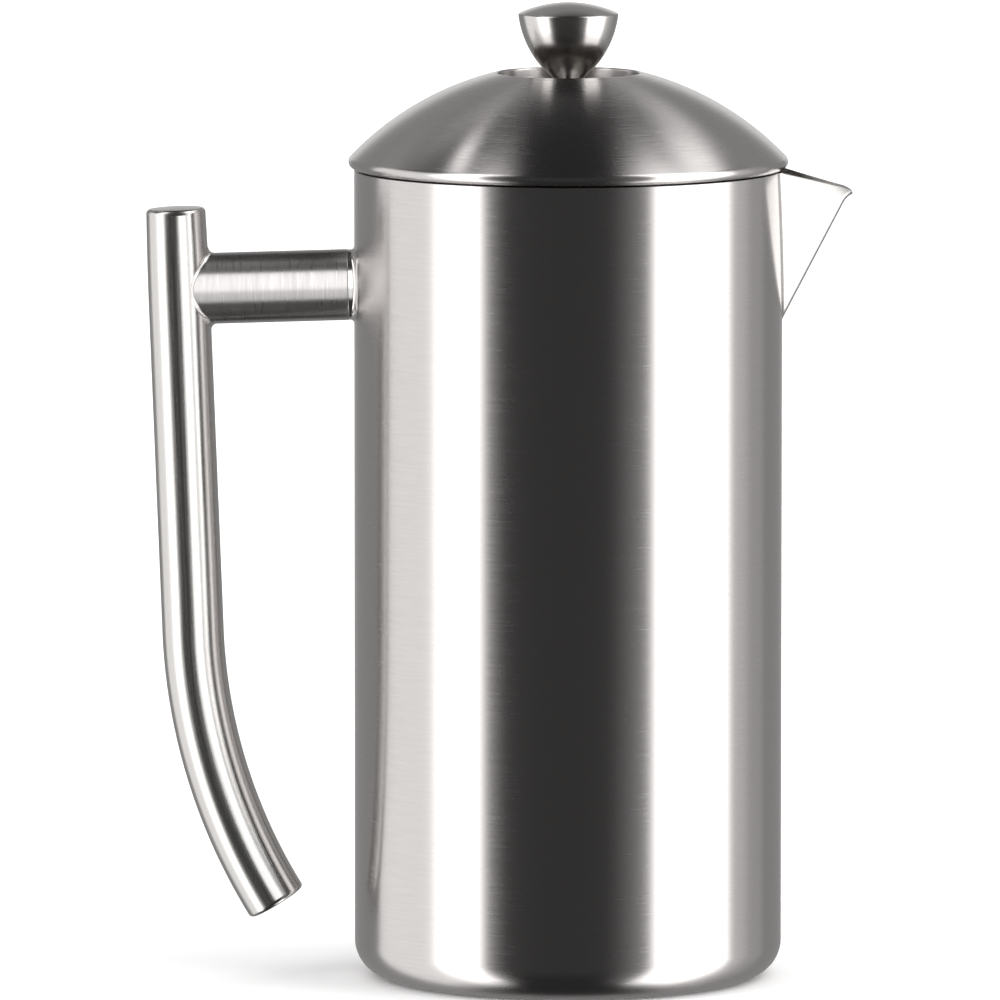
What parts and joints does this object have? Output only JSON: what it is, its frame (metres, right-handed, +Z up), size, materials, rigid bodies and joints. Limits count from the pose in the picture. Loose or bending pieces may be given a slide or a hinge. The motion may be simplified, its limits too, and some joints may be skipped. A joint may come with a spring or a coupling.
{
  "type": "french press",
  "caption": "Double-wall brushed steel French press with a domed lid, sunken knob, V-shaped spout and open tube handle; the lid, plunger and filter come apart.",
  "frame": {"origin": "centre of the foot, on the carafe's axis and on the plane that the press stands on", "axes": "+Z up along the carafe's axis, +X towards the spout, -X towards the handle, +Y to the left of somebody who looks along +X"},
  "size_m": [0.1785, 0.1108, 0.2467],
  "materials": {
    "brushed_shell": "fine brushed round the body",
    "brushed_lid": "fine brushed in circles",
    "brushed_base": "brushed",
    "brushed_arm": "brushed round the tube",
    "satin_spout": "satin",
    "satin_grip": "satin polished along the tube",
    "satin_cap": "satin",
    "polished_weld": "mirror polished",
    "satin_well": "satin",
    "satin_knob": "satin polished",
    "satin_liner": "satin",
    "turned_steel": "turned",
    "polished_rod": "polished",
    "stamped_steel": "bright stamped sheet",
    "spring_wire": "bright wire",
    "woven_coarse": "coarse woven wire",
    "woven_fine": "fine woven wire"
  },
  "bodies": {
    "carafe": {"outer_shell": "brushed_shell", "inner_liner": "satin_liner", "base_plate": "brushed_base", "spout": "satin_spout", "handle_arm": "brushed_arm", "arm_collar": "polished_weld", "handle_grip": "satin_grip", "grip_top_cap": "satin_cap", "grip_end_cap": "satin_cap"},
    "lid": {"lid_dome": "brushed_lid", "lid_well": "satin_well", "lid_skirt": "satin_liner", "lid_underplate": "satin_liner", "rod_guide": "turned_steel", "guide_nut": "turned_steel"},
    "plunger": {"plunger_knob": "satin_knob", "plunger_rod": "polished_rod", "rod_collar": "turned_steel"},
    "filter_discs": {"spring_plate": "stamped_steel", "edge_spring": "spring_wire", "coarse_screen": "woven_coarse", "fine_screen": "woven_fine"},
    "filter_clamp": {"cross_plate": "stamped_steel", "hub_nut": "turned_steel"}
  },
  "joints": [
    {"name": "lid_lift", "type": "slide", "parent": "carafe", "child": "lid", "axis": [0, 0, 1], "range_m": [0, 0.2]},
    {"name": "plunger_slide", "type": "slide", "parent": "lid", "child": "plunger", "axis": [0, 0, 1], "range_m": [0, 0.155]},
    {"name": "filter_drop", "type": "slide", "parent": "plunger", "child": "filter_discs", "axis": [0, 0, -1], "range_m": [0, 0.0088]},
    {"name": "hub_unscrew", "type": "hinge", "parent": "filter_discs", "child": "filter_clamp", "pos_m": [0, 0, 0.024], "axis": [0, 0, -1], "range_deg": [0, 3961]}
  ],
  "couplings": [
    {"joint": "hub_unscrew", "follows": "filter_drop", "rad_per_m": 7854}
  ]
}
